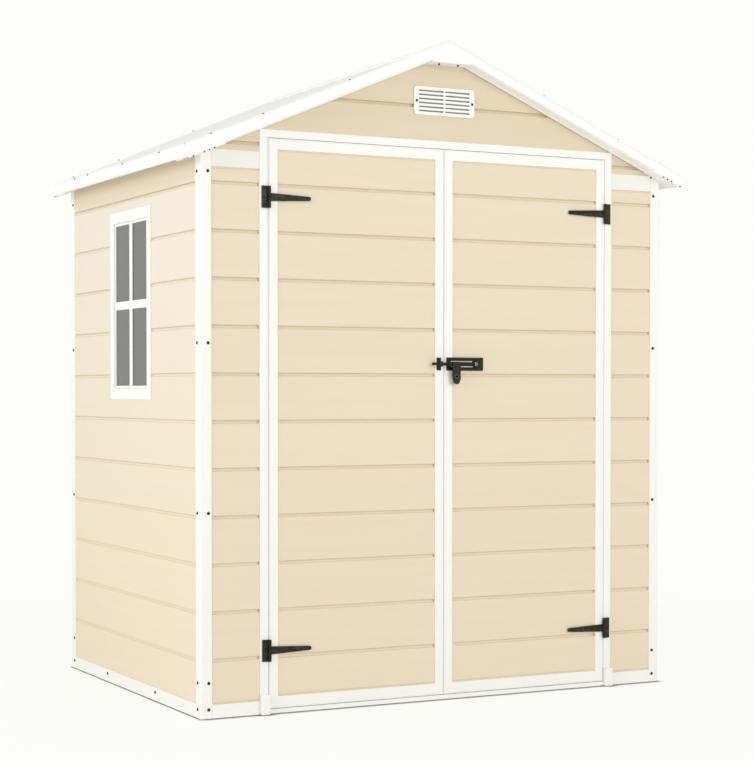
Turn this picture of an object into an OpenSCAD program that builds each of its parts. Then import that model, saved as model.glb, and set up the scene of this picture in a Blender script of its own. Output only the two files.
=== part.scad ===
// Resin storage shed with a pitched roof, double front doors and one window in each side wall.
// Millimetres. X runs to the right along the front, Y runs to the back, Z is up.
// The origin is on the ground, in the middle of the shed's plan.

/* [Body] */
// Width of the shed over its corner posts
body_w = 1838; // [1560:1:2400]
// Depth of the shed over its corner posts
body_d = 1358; // [1000:1:2200]
// Height of the roof's underside over the outer face of the corner posts
eave_h = 1873; // [1720:1:2300]
// Thickness of the wall panels
wall_t = 20; // [12:1:30]
// How far white trim stands proud of the beige panels
trim_proud = 3; // [1:0.5:6]
// Height of the plinth all round
base_h = 45; // [30:1:80]
// Thickness of the plinth rails
base_t = 36; // [24:1:60]
// Height of the floor panel, and of the sill under the doors
floor_h = 15; // [8:1:25]

/* [Corner posts] */
// Width of a corner post along the front
post_w = 40; // [30:1:70]
// Width of a corner post along the side
post_d = 44; // [30:1:70]
// Radius of a post's outer arris
post_r = 6; // [2:0.5:12]

/* [Front wall] */
// How far the underside of the white bands beside the doors lies below the eaves
band_drop = 45; // [30:1:120]
// Height of the white bands
band_h = 58; // [30:1:70]
// Width between the outer faces of the door frame
frame_w = 1410; // [1000:1:1440]
// Width of a door frame post
frame_post = 30; // [20:1:60]
// Gap between the top corners of the door frame and the roof's underside
frame_gap = 1.8; // [1:0.1:20]
// Height of the door frame's head piece
head_h = 27; // [20:1:60]
// Depth of the door frame
frame_t = 30; // [24:1:50]
// Height of the blocks over the feet of the door frame
foot_h = 66; // [40:1:100]
// How far those blocks stand proud of the frame
foot_proud = 18; // [5:1:20]

/* [Doors] */
// Gap between a door and its frame
door_gap = 5; // [5:0.5:9]
// Gap between the two doors
meeting_gap = 7; // [7:0.5:12]
// Thickness of a door's white border
leaf_t = 30; // [22:1:44]
// Width of a door's stiles
stile_w = 31; // [20:1:80]
// Height of a door's top rail
top_rail = 34; // [20:1:80]
// Height of a door's bottom rail
bottom_rail = 37; // [20:1:80]

/* [Hinges] */
// Distance of a hinge's middle from the end of its door
hinge_inset = 194; // [130:1:500]
// Height of a hinge plate
plate_h = 74; // [50:1:120]
// Width of a hinge plate
plate_w = 26; // [18:1:30]
// Thickness of hinge plates and straps
plate_t = 3; // [2:0.5:3.5]
// Length of a hinge strap from the pin
strap_l = 156; // [100:1:300]
// Height of a strap at the pin
strap_root = 28; // [20:1:40]
// Height of a strap at its tip
strap_tip = 14; // [8:1:20]
// Radius of a hinge knuckle
knuckle_r = 5; // [4:0.5:6]
// Radius of a hinge pin
pin_r = 2.5; // [2:0.1:3]
// Distance of the pin in front of the door frame
pin_out = 8; // [8:0.5:10]

/* [Bolt] */
// Height of the bolt's rod
bolt_z = 1182; // [700:1:1500]
// Radius of the rod
rod_r = 5; // [4:0.5:6]
// Distance of the rod's axis in front of the door
rod_out = 12; // [11:0.5:16]
// Length of the bolt's back plate
latch_l = 149; // [148:1:200]
// Height of the back plate
latch_h = 46; // [40:1:70]
// Distance of the back plate from the middle of the doors
latch_x = 9; // [6:0.5:15]
// Thickness of the back plate
latch_t = 2.5; // [1.5:0.5:3]
// Length of the two guides that hold the rod
guide_l = 11; // [6:1:14]
// Outer radius of the guides
guide_r = 8.5; // [8:0.5:10]
// How far the rod reaches past the middle of the doors
rod_reach = 53; // [45:1:55]
// How far the rod is drawn to free the doors
bolt_travel = 60; // [58:1:60]
// Width of the hanging lever
lever_w = 33; // [20:1:34]
// Length of the lever below the rod's axis
lever_l = 71; // [40:1:90]
// Thickness of the lever
lever_t = 3; // [2:0.5:4]
// Radius of the padlock hole in the lever
lever_hole_r = 5.5; // [3:0.5:8]
// Width of the keeper on the other door
keeper_w = 17; // [8:1:20]
// Height of the keeper
keeper_h = 45; // [30:1:60]

/* [Windows] */
// Width of a window over its casing
window_w = 424; // [300:1:700]
// Height of a window over its casing
window_h = 684; // [400:1:760]
// Height of the underside of a window
window_z = 1056; // [400:1:1100]
// Width of the casing
casing_w = 40; // [32:1:70]
// How far the casing stands proud of the wall panel
casing_proud = 3; // [1:0.5:8]
// Width of the sash inside the casing
sash_w = 10; // [6:1:20]
// How far the sash is set back from the casing
sash_back = 3.5; // [1:0.5:8]
// How far the glass is set back from the sash
glass_back = 4.5; // [2:0.5:8]
// Width of the upright bar
bar_w = 28; // [10:1:40]
// Height of the cross bar
bar_h = 30; // [10:1:40]
// Thickness of the glass
glass_t = 3; // [2:0.5:5]

/* [Vent] */
// Width of the gable vent
vent_w = 241; // [150:1:300]
// Height of the gable vent
vent_h = 99; // [70:1:105]
// How far the vent's underside lies below the peak of the roof's underside
vent_drop = 214; // [175:1:215]
// How far the vent stands proud of the gable
vent_proud = 6; // [3:1:12]
// Radius of the vent's corners
vent_r = 12; // [4:1:20]
// Slots in each of the vent's two columns
vent_rows = 6; // [3:1:8]
// Height of one slot
slot_h = 5; // [3:0.5:6]

/* [Roof] */
// Slope of the roof in degrees
roof_pitch = 23; // [18:0.5:26]
// How far the roof reaches past the posts at the front and back
end_overhang = 57; // [40:1:120]
// How far the roof reaches past the posts at the sides
side_overhang = 64; // [40:1:150]
// Thickness of the edge trim, square to the slope
edge_t = 40; // [36:1:60]
// Wall of the edge trim over and under the roof panel
edge_wall = 3; // [2:0.5:5]
// Rounding of the edge trim's upper corner
edge_r = 20; // [8:1:20]
// Rounding of the edge trim's lower corner
edge_low_r = 8; // [3:1:12]
// How far the roof panel stops short of the edge trim's nose
edge_nose = 20; // [20:1:30]
// Reach of the ridge cap to each side
ridge_reach = 78; // [60:1:100]
// How far the ridge cap and corner caps stand over the edge trim
cap_over = 2; // [1:0.5:4]
// How far the corner caps hang below the edge trim
cap_under = 5.5; // [4:0.5:12]
// How far the ridge cap's flat underside lies below the peak of the slopes
ridge_drop = 37; // [35:1:50]
// Length of each arm of a corner cap
cap_arm = 135; // [90:1:200]

/* [Fits] */
// Clearance round a hinge pin
pin_gap = 0.1; // [0.05:0.05:0.2]
// Clearance round the sliding rod
rod_gap = 0.3; // [0.2:0.05:0.5]
// Clearance round the rod in the keeper
keeper_gap = 1.5; // [1:0.1:3]
// Clearance between the leaves of a hinge
knuckle_gap = 0.5; // [0.3:0.1:1]
// Gap between the two roof panels at the ridge
ridge_gap = 0.6; // [0.4:0.1:2]
// Clearance round the roof panels in their trim and on the walls
roof_gap = 0.05; // [0.02:0.01:0.1]
// Joint between the lengths of edge trim and the caps
seam_gap = 0.1; // [0.05:0.05:1]

/* [Hidden] */
$fn = 48;
big = 6000;
// Half sizes over the posts, and to the outer faces of the beige panels
half_w = body_w / 2;
half_d = body_d / 2;
panel_x = half_w - trim_proud;
panel_y = half_d - trim_proud;
// Height at which the undersides of the two slopes would meet
peak_z = eave_h + half_w * tan(roof_pitch);
// Walls run up between the edge trim's lips, to the underside of the roof panel
wall_top = edge_wall;
// Door frame and doors; the frame's top corners reach almost to the roof
frame_half = frame_w / 2;
frame_top = peak_z - frame_half * tan(roof_pitch) - frame_gap;
band_z = eave_h - band_drop;
vent_z = peak_z - vent_drop;
jamb_x = frame_half - frame_post;
head_z = frame_top - head_h;
leaf_out = jamb_x - door_gap;
leaf_in = meeting_gap / 2;
leaf_z = floor_h + door_gap;
leaf_top = head_z - door_gap;
hinge_heights = [leaf_z + hinge_inset, leaf_top - hinge_inset];
// Hinge pins stand in the gap between door and frame
pin_x = jamb_x - door_gap / 2;
pin_y = -half_d - pin_out;
knuckle_h = (plate_h - strap_root) / 2;
// Rod and its guides, in distances from the middle of the doors
rod_y = -half_d - rod_out;
lever_x = latch_x + 1 + guide_l + 3;
guide2_x = lever_x + lever_w + bolt_travel + 4;
rod_end = guide2_x + guide_l + 3;
// Window opening in the wall panel, inside the casing
hole_w = window_w - casing_w;
hole_h = window_h - casing_w;
// Roof: distance down the slope to the nose of the edge trim
nose_x = half_w + side_overhang - edge_r - (edge_t - edge_r) * sin(roof_pitch);
nose_s = nose_x / cos(roof_pitch) + edge_r;
nose_y = half_d + end_overhang;
// Distances down the slope to the ridge cap's edge and to the corner caps
ridge_s = ridge_reach / cos(roof_pitch);
cap_s = nose_s - cap_arm;

white = [0.95, 0.95, 0.93];
beige = [0.90, 0.84, 0.73];
black = [0.16, 0.15, 0.13];

// ---- helpers -------------------------------------------------------------------------------

// Mirrors to the left when side is -1
module to_side(side) {
    mirror([side < 0 ? 1 : 0, 0, 0]) children();
}

// Mirrors to the back when end is 1
module to_end(end) {
    mirror([0, end > 0 ? 1 : 0, 0]) children();
}

// Right-hand slope: X runs down the slope from the peak, Z stands square to it
module on_slope() {
    translate([0, 0, peak_z]) rotate([0, roof_pitch, 0]) children();
}

// Cuts away what would reach into the roof: above the slopes' undersides, raised by lift
module under_roof(lift) {
    difference() {
        children();
        for (side = [-1, 1]) to_side(side) on_slope()
            translate([-big / 2, -big / 2, lift]) cube([big, big, big / 2]);
    }
}

// Section of the edge trim: X runs in from its nose, Y stands square to the slope
module edge_section(depth, over, under) {
    translate([-over, edge_low_r + over - under])
        square([depth + over, edge_t - edge_r - edge_low_r - over + under]);
    translate([edge_r, 0]) square([depth - edge_r, edge_t + over]);
    translate([edge_low_r, -under]) square([depth - edge_low_r, edge_t / 2 + under]);
    translate([edge_r, edge_t - edge_r]) circle(edge_r + over);
    translate([edge_low_r, edge_low_r + over - under]) circle(edge_low_r + over);
}

// Leaves only what lies outside the wall panels, seen from above
module outside_walls() {
    difference() {
        children();
        translate([-panel_x, -panel_y, 0]) cube([2 * panel_x, 2 * panel_y, big]);
    }
}

// Square with all four corners rounded
module round_square(w, h, r) {
    translate([r, 0]) square([w - 2 * r, h]);
    translate([0, r]) square([w, h - 2 * r]);
    for (x = [r, w - r], y = [r, h - r]) translate([x, y]) circle(r);
}

// ---- base and floor ------------------------------------------------------------------------

module floor() {
    inner_x = half_w - base_t;
    inner_y = half_d - base_t;
    color(white) difference() {
        translate([-inner_x, -inner_y, 0]) cube([2 * inner_x, 2 * inner_y, floor_h]);
        // Room for the corner posts
        for (side = [-1, 1], end = [-1, 1]) to_side(side) to_end(end)
            translate([half_w - post_w, -half_d, -1]) cube([post_w, post_d, floor_h + 2]);
    }
}

// Side rails stop at the posts, front and back rails too
module base_side(side) {
    color(white) to_side(side) translate([half_w - base_t, -half_d + post_d, 0])
        cube([base_t, body_d - 2 * post_d, base_h]);
}

module base_back() {
    color(white) translate([-half_w + post_w, half_d - base_t, 0])
        cube([body_w - 2 * post_w, base_t, base_h]);
}

// The front rail drops to a low sill between the feet of the door frame
module base_front() {
    rail = half_w - post_w;
    color(white) difference() {
        translate([-rail, -half_d, 0]) cube([2 * rail, base_t, base_h]);
        translate([-frame_half, -half_d - 1, floor_h]) cube([frame_w, base_t + 2, base_h]);
    }
}

// ---- posts and walls -----------------------------------------------------------------------

module corner_post(side, end) {
    inner = half_w - post_w;
    color(white) to_side(side) to_end(end) {
        // The outer faces stop under the corner cap, the rest runs up inside it
        under_roof(-cap_under) linear_extrude(peak_z) translate([inner, -half_d]) union() {
            square([post_w - post_r, post_d]);
            translate([0, post_r]) square([post_w, post_d - post_r]);
            translate([post_w - post_r, post_r]) circle(post_r);
        }
        under_roof(wall_top) translate([inner, -panel_y, base_h])
            cube([post_w - trim_proud, post_d - trim_proud, peak_z]);
    }
}

module wall_side(side) {
    length = body_d - 2 * post_d;
    color(beige) to_side(side) under_roof(wall_top) difference() {
        translate([panel_x - wall_t, -length / 2, base_h]) cube([wall_t, length, peak_z]);
        translate([panel_x - wall_t - 1, -hole_w / 2, window_z + casing_w / 2])
            cube([wall_t + 2, hole_w, hole_h]);
    }
}

module wall_back() {
    length = body_w - 2 * post_w;
    color(beige) under_roof(wall_top)
        translate([-length / 2, panel_y - wall_t, base_h]) cube([length, wall_t, peak_z]);
}

// Panel between a front post and the door frame, up to the white band
module wall_front(side) {
    width = half_w - post_w - frame_half;
    color(beige) to_side(side) translate([frame_half, -panel_y, base_h])
        cube([width, wall_t, band_z - base_h]);
}

// One panel over the bands and the door frame, up to the roof
module gable_front() {
    length = body_w - 2 * post_w;
    color(beige) difference() {
        under_roof(wall_top) translate([-length / 2, -panel_y, band_z + band_h])
            cube([length, wall_t, peak_z]);
        translate([-frame_half, -panel_y - 1, 0]) cube([frame_w, wall_t + 2, frame_top]);
        vent_hole();
    }
}

module front_bands() {
    width = half_w - post_w - frame_half;
    color(white) for (side = [-1, 1]) to_side(side) under_roof(-cap_under)
        translate([frame_half, -half_d, band_z]) cube([width, wall_t + trim_proud, band_h]);
}

// ---- door frame ----------------------------------------------------------------------------

module door_post(side) {
    color(white) to_side(side) translate([jamb_x, -half_d, floor_h])
        cube([frame_post, frame_t, head_z - floor_h]);
}

module door_head() {
    color(white) translate([-frame_half, -half_d, head_z]) cube([frame_w, frame_t, head_h]);
}

// Blocks standing on the ground in front of the feet of the door frame
module door_feet() {
    color(white) for (side = [-1, 1]) to_side(side)
        translate([jamb_x, -half_d - foot_proud, 0]) cube([frame_post, foot_proud, foot_h]);
}

// ---- doors ---------------------------------------------------------------------------------

module door_panel(side) {
    width = leaf_out - leaf_in - 2 * stile_w;
    height = leaf_top - leaf_z - top_rail - bottom_rail;
    color(beige) to_side(side) translate([leaf_in + stile_w, -panel_y, leaf_z + bottom_rail])
        cube([width, wall_t, height]);
}

module door_border(side) {
    width = leaf_out - leaf_in;
    height = leaf_top - leaf_z;
    color(white) to_side(side) difference() {
        translate([leaf_in, -half_d, leaf_z]) cube([width, leaf_t, height]);
        translate([leaf_in + stile_w, -half_d - 1, leaf_z + bottom_rail])
            cube([width - 2 * stile_w, leaf_t + 2, height - top_rail - bottom_rail]);
    }
}

// ---- hinges --------------------------------------------------------------------------------

// Plate on the door frame with the upper and lower knuckles and the pin, for the right-hand side
module hinge_plate(side) {
    color(black) to_side(side) for (z = hinge_heights) translate([0, 0, z]) {
        difference() {
            union() {
                translate([pin_x + knuckle_r - 2, -half_d - plate_t, -plate_h / 2])
                    cube([plate_w - knuckle_r + 2, plate_t, plate_h]);
                for (end = [-1, 1]) translate([0, 0, end * (plate_h - knuckle_h) / 2]) {
                    translate([pin_x, pin_y, -knuckle_h / 2 + knuckle_gap / 2])
                        cube([8, pin_out, knuckle_h - knuckle_gap]);
                    translate([pin_x, pin_y, 0])
                        cylinder(r = knuckle_r, h = knuckle_h - knuckle_gap, center = true);
                }
            }
            // The plate lies on the frame, so nothing of it reaches into the door gap
            translate([pin_x - 10, -half_d - plate_t - 1, -plate_h / 2 - 1])
                cube([10, 20, plate_h + 2]);
        }
        translate([pin_x, pin_y, 0]) cylinder(r = pin_r, h = plate_h - 1, center = true);
    }
}

// Tapered strap on the door with the middle knuckle
module hinge_strap(side) {
    reach = strap_l - strap_tip / 2;
    color(black) to_side(side) for (z = hinge_heights) translate([0, 0, z]) difference() {
        union() {
            translate([pin_x, -half_d, 0]) rotate([90, 0, 0]) linear_extrude(plate_t) union() {
                polygon([[-7, -strap_root / 2 + knuckle_gap], [-reach, -strap_tip / 2],
                    [-reach, strap_tip / 2], [-7, strap_root / 2 - knuckle_gap]]);
                translate([-reach, 0]) circle(strap_tip / 2);
            }
            translate([pin_x - 8, pin_y, -strap_root / 2 + knuckle_gap])
                cube([8, pin_out - 0.01, strap_root - 2 * knuckle_gap]);
            translate([pin_x, pin_y, 0])
                cylinder(r = knuckle_r, h = strap_root - 2 * knuckle_gap, center = true);
        }
        translate([pin_x, pin_y, 0]) cylinder(r = pin_r + pin_gap, h = strap_root, center = true);
    }
}

// ---- bolt ----------------------------------------------------------------------------------

// Hole or bar along X through the rod's axis
module along_rod(x, length, r) {
    translate([x, rod_y, bolt_z]) rotate([0, 90, 0]) cylinder(r = r, h = length);
}

// Holder that rises from the back plate and wraps the rod
module rod_holder(x, length, r, bore) {
    difference() {
        union() {
            along_rod(x, length, r);
            translate([x, rod_y, bolt_z - r]) cube([length, rod_out, 2 * r]);
        }
        along_rod(x - 1, length + 2, bore);
    }
}

module latch_plate() {
    rail_gap = guide_r + 1;
    color(black) {
        difference() {
            translate([latch_x, -half_d - latch_t, bolt_z - latch_h / 2])
                cube([latch_l, latch_t + trim_proud, latch_h]);
            // The back is stepped to sit on the door's stile and on its panel
            translate([leaf_in - 1, -half_d, bolt_z - latch_h]) cube([stile_w + 1, 10, 2 * latch_h]);
        }
        for (x = [latch_x + 1, guide2_x]) rod_holder(x, guide_l, guide_r, rod_r + rod_gap);
        // Raised rails along the lever's travel
        for (z = [-rail_gap - 3, rail_gap]) translate([lever_x, -half_d - latch_t - 4, bolt_z + z])
            cube([lever_w + bolt_travel, 4, 3]);
    }
}

module latch_rod() {
    color(black) along_rod(-rod_reach, rod_reach + rod_end, rod_r);
}

module latch_lever() {
    collar = rod_r + lever_t;
    color(black) difference() {
        union() {
            along_rod(lever_x, lever_w, collar);
            translate([lever_x, rod_y - collar, bolt_z - lever_l + lever_w / 2])
                cube([lever_w, lever_t, lever_l - lever_w / 2]);
            translate([lever_x + lever_w / 2, rod_y - collar, bolt_z - lever_l + lever_w / 2])
                rotate([-90, 0, 0]) cylinder(r = lever_w / 2, h = lever_t);
        }
        along_rod(lever_x - 1, lever_w + 2, rod_r + rod_gap);
        translate([lever_x + lever_w / 2, rod_y - collar - 1, bolt_z - lever_l + 27])
            rotate([-90, 0, 0]) cylinder(r = lever_hole_r, h = lever_t + 2);
    }
}

module latch_keeper() {
    x = -leaf_in - 9.5 - keeper_w;
    bore = rod_r + keeper_gap;
    color(black) {
        difference() {
            translate([x, -half_d - latch_t, bolt_z - keeper_h / 2]) cube([keeper_w, latch_t, keeper_h]);
            along_rod(x - 1, keeper_w + 2, bore);
        }
        rod_holder(x, keeper_w, bore + 3, bore);
    }
}

// ---- windows and vent ----------------------------------------------------------------------

// Casing, sash and bars of one window, on the wall panel's outer face
module window_frame(side) {
    face = panel_x + casing_proud;
    sash_face = face - sash_back;
    glass_face = sash_face - glass_back;
    open_w = window_w - 2 * (casing_w + sash_w);
    open_h = window_h - 2 * (casing_w + sash_w);
    color(white) to_side(side) translate([0, 0, window_z + window_h / 2]) {
        difference() {
            union() {
                translate([panel_x, -window_w / 2, -window_h / 2]) cube([casing_proud, window_w, window_h]);
                translate([panel_x - wall_t, -hole_w / 2, -hole_h / 2]) cube([wall_t, hole_w, hole_h]);
            }
            translate([sash_face, -open_w / 2 - sash_w, -open_h / 2 - sash_w])
                cube([50, open_w + 2 * sash_w, open_h + 2 * sash_w]);
            translate([panel_x - wall_t - 1, -open_w / 2, -open_h / 2]) cube([50, open_w, open_h]);
        }
        for (depth = [glass_face, panel_x - wall_t]) {
            length = depth == glass_face ? glass_back : glass_face - glass_t - depth;
            translate([depth, -bar_w / 2, -open_h / 2]) cube([length, bar_w, open_h]);
            translate([depth, -open_w / 2, -bar_h / 2]) cube([length, open_w, bar_h]);
        }
    }
}

module window_glass(side) {
    face = panel_x + casing_proud - sash_back - glass_back;
    open_w = window_w - 2 * (casing_w + sash_w);
    open_h = window_h - 2 * (casing_w + sash_w);
    color([0.55, 0.55, 0.52, 0.6]) to_side(side)
        translate([face - glass_t, -open_w / 2, window_z + (window_h - open_h) / 2])
            cube([glass_t, open_w, open_h]);
}

// Hole in the gable behind the vent
module vent_hole() {
    translate([-vent_w / 2 + 18, -panel_y - 1, vent_z + 9]) cube([vent_w - 36, wall_t + 2, vent_h - 18]);
}

module gable_vent() {
    column = (vent_w - 2 * 19 - 7) / 2;
    pitch = (vent_h - 2 * 7.5) / vent_rows;
    color(white) difference() {
        translate([-vent_w / 2, -panel_y, vent_z]) rotate([90, 0, 0])
            linear_extrude(vent_proud) round_square(vent_w, vent_h, vent_r);
        for (x = [-column - 3.5, 3.5], row = [0 : vent_rows - 1])
            translate([x, -panel_y - vent_proud - 1, vent_z + 7.5 + pitch * (row + 0.5) - slot_h / 2])
                cube([column, vent_proud + 2, slot_h]);
    }
}

// ---- roof ----------------------------------------------------------------------------------

// Slab of one slope, from the ridge to short of the edge trim's nose; gap is taken off all round
module roof_slab(side, gap) {
    length = nose_s - edge_nose - gap;
    reach_y = nose_y - edge_nose - gap;
    to_side(side) difference() {
        on_slope() translate([-edge_t, -reach_y, edge_wall + gap])
            cube([edge_t + length, 2 * reach_y, edge_t - 2 * edge_wall - 2 * gap]);
        translate([ridge_gap / 2 - big, -big / 2, 0]) cube([big, big, big]);
    }
}

module roof_panel(side) {
    color(white) roof_slab(side, roof_gap);
}

// Bar with the edge trim's section along the front of the right-hand slope, from s0 to s1
module end_bar(s0, s1, depth, over, under) {
    on_slope() translate([s1, -nose_y, 0]) rotate([0, -90, 0]) linear_extrude(s1 - s0)
        mirror([1, -1]) edge_section(depth, over, under);
}

// The same section along the right-hand eave, from y0 to y1
module eave_bar(y0, y1, depth, over, under) {
    on_slope() translate([nose_s, y1, 0]) rotate([90, 0, 0]) linear_extrude(y1 - y0)
        mirror([1, 0]) edge_section(depth, over, under);
}

module roof_edge_end(end) {
    color(white) difference() {
        outside_walls() for (side = [-1, 1]) to_side(side) to_end(end)
            end_bar(ridge_s + seam_gap, cap_s - seam_gap, cap_arm, 0, 0);
        for (side = [-1, 1]) roof_slab(side, 0);
    }
}

module roof_edge_side(side) {
    reach = nose_y - cap_arm - seam_gap;
    color(white) difference() {
        outside_walls() to_side(side) eave_bar(-reach, reach, cap_arm, 0, 0);
        roof_slab(side, 0);
    }
}

// Caps over the four corners, where the edge trims meet
module roof_corner_caps() {
    color(white) for (side = [-1, 1], end = [-1, 1]) difference() {
        outside_walls() to_side(side) to_end(end) intersection() {
            end_bar(cap_s, nose_s + cap_over, cap_arm, cap_over, cap_under);
            eave_bar(-nose_y - cap_over, -nose_y + cap_arm, cap_arm, cap_over, cap_under);
        }
        roof_slab(side, 0);
    }
}

// Right-hand half of the ridge cap: a strip over the joint and a block in each gable's trim
module ridge_half() {
    block_x = ridge_reach - 2;
    difference() {
        union() {
            on_slope() translate([-edge_t, -panel_y, edge_t - edge_wall])
                cube([edge_t + ridge_s, 2 * panel_y, edge_wall + cap_over]);
            outside_walls() for (end = [-1, 1]) to_end(end)
                end_bar(-2 * edge_t, ridge_s, cap_arm, cap_over, 0);
            // Down to the flat underside of each block
            for (end = [-1, 1]) to_end(end) translate([0, -panel_y, peak_z]) rotate([90, 0, 0])
                linear_extrude(nose_y - panel_y) polygon([
                    [-5, -ridge_drop], [block_x, -ridge_drop],
                    [block_x, 10 - block_x * tan(roof_pitch)], [-5, 10 + 5 * tan(roof_pitch)]]);
        }
        translate([-big, -big / 2, 0]) cube([big, big, big]);
    }
}

module ridge_cap() {
    color(white) difference() {
        for (side = [-1, 1]) to_side(side) ridge_half();
        for (side = [-1, 1]) roof_slab(side, 0);
    }
}

// ---- nodes ---------------------------------------------------------------------------------

floor();
base_side(-1);  // base_left
base_side(1);  // base_right
base_back();
base_front();
corner_post(-1, -1);  // post_front_left
corner_post(1, -1);  // post_front_right
corner_post(-1, 1);  // post_back_left
corner_post(1, 1);  // post_back_right
wall_side(-1);  // wall_left
wall_side(1);  // wall_right
wall_back();
wall_front(-1);  // wall_front_left
wall_front(1);  // wall_front_right
gable_front();
front_bands();
door_post(-1);  // door_post_left
door_post(1);  // door_post_right
door_head();
door_feet();
door_panel(-1);  // door_left_panel
door_border(-1);  // door_left_border
door_panel(1);  // door_right_panel
door_border(1);  // door_right_border
hinge_plate(-1);  // hinge_plates_left
hinge_plate(1);  // hinge_plates_right
hinge_strap(-1);  // hinge_straps_left
hinge_strap(1);  // hinge_straps_right
latch_plate();
latch_rod();
latch_lever();
latch_keeper();
window_frame(-1);  // window_frame_left
window_frame(1);  // window_frame_right
window_glass(-1);  // window_glass_left
window_glass(1);  // window_glass_right
gable_vent();
roof_panel(-1);  // roof_left
roof_panel(1);  // roof_right
ridge_cap();
roof_edge_end(-1);  // roof_edge_front
roof_edge_end(1);  // roof_edge_back
roof_edge_side(-1);  // roof_edge_left
roof_edge_side(1);  // roof_edge_right
roof_corner_caps();
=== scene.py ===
import math

import bmesh
import bpy
from mathutils import Matrix, Vector


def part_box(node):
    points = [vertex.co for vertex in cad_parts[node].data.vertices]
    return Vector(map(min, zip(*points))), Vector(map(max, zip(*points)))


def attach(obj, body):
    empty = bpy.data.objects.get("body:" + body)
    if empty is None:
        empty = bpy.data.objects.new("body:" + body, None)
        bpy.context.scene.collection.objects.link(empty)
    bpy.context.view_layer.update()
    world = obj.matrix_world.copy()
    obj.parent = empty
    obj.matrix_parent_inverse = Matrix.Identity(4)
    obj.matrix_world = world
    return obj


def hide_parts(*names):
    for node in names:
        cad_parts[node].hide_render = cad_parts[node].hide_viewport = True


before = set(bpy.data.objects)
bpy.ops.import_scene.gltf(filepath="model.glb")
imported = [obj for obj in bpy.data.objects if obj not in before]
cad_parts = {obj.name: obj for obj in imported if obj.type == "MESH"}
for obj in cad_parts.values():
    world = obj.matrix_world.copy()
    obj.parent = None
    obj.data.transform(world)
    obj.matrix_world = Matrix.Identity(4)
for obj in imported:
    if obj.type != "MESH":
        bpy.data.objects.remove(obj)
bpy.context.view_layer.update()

MM = 0.001
X, Y, Z = Vector((1, 0, 0)), Vector((0, 1, 0)), Vector((0, 0, 1))

# ---- the shed's own sizes, in metres -------------------------------------------------------

POST_LOW, POST_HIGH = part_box("post_front_right")
HALF_WIDTH, HALF_DEPTH = POST_HIGH.x, -POST_LOW.y
WALL_FACE_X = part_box("wall_right")[1].x
WALL_FACE_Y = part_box("wall_back")[1].y
WALL_THICK = 20 * MM
FRONT = -HALF_DEPTH

ROOF_PITCH = math.radians(23)
SLOPE, RISE = math.cos(ROOF_PITCH), math.sin(ROOF_PITCH)
EAVE_HEIGHT = 1873 * MM
PEAK = EAVE_HEIGHT + HALF_WIDTH * math.tan(ROOF_PITCH)
TRIM_THICK = 40 * MM
TRIM_ROUND = 20 * MM
TRIM_LOW_ROUND = 8 * MM
ROOF_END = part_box("roof_edge_front")[0].y
NOSE = (HALF_WIDTH + 64 * MM - TRIM_ROUND - (TRIM_THICK - TRIM_ROUND) * RISE) / SLOPE + TRIM_ROUND
RIDGE_REACH = 78 * MM / SLOPE
CAP_OVER, CAP_UNDER = 2 * MM, 5.5 * MM
# Half the gap between the two rails that guide the lever
RAIL_GAP = 7.5 * MM
# The side of the shed that each hand is on, and its corners as side and end
HANDS = (("left", -1), ("right", 1))
CORNERS = [(side, end) for side in (-1, 1) for end in (-1, 1)]

BOARD = 158.5 * MM
FIRST_JOINT = 196.9 * MM
WALL_JOINTS = [FIRST_JOINT + BOARD * k for k in range(11)]
GABLE_JOINTS = [1917 * MM, 2085 * MM]
BACK_JOINTS = [FIRST_JOINT + BOARD * k for k in range(13)]


# ---- shader groups -------------------------------------------------------------------------

def add(tree, kind, inputs=None, **settings):
    """Adds a node, sets its choices, and sets or links its inputs."""
    made = tree.nodes.new(kind)
    for name, value in settings.items():
        setattr(made, name, value)
    for key, value in (inputs or {}).items():
        if isinstance(value, bpy.types.NodeSocket):
            tree.links.new(value, made.inputs[key])
        else:
            made.inputs[key].default_value = value
    return made


def maths(tree, operation, a, b=0.0, clamp=False):
    return add(tree, "ShaderNodeMath", {0: a, 1: b}, operation=operation, use_clamp=clamp).outputs[0]


def spread(tree, value, low, high, to_low, to_high):
    """Stretches a value between two limits to two others."""
    keys = {"Value": value, "From Min": low, "From Max": high, "To Min": to_low, "To Max": to_high}
    return add(tree, "ShaderNodeMapRange", keys).outputs["Result"]


def blend_colour(tree, factor, a, b):
    return add(tree, "ShaderNodeMix", {0: factor, 6: a, 7: b}, data_type="RGBA").outputs[2]


def new_group(name, inputs, outputs):
    """Starts a shader group. An input is (name, kind, value); every output is a plain number."""
    tree = bpy.data.node_groups.new(name, "ShaderNodeTree")
    for label, kind, value in inputs:
        made = tree.interface.new_socket(name=label, in_out="INPUT", socket_type="NodeSocket" + kind)
        if value is not None:
            made.default_value = value
    for label in outputs:
        tree.interface.new_socket(name=label, in_out="OUTPUT", socket_type="NodeSocketFloat")
    return tree, tree.nodes.new("NodeGroupInput").outputs, tree.nodes.new("NodeGroupOutput").inputs


def stretched_noise(tree, place, stretch, detail, roughness):
    """Noise with one number for each axis: the larger it is, the finer the noise runs across that axis."""
    scaled = add(tree, "ShaderNodeVectorMath", {0: place, 1: stretch}, operation="MULTIPLY").outputs[0]
    keys = {"Vector": scaled, "Scale": 1.0, "Detail": detail, "Roughness": roughness}
    return add(tree, "ShaderNodeTexNoise", keys).outputs[0]


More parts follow.
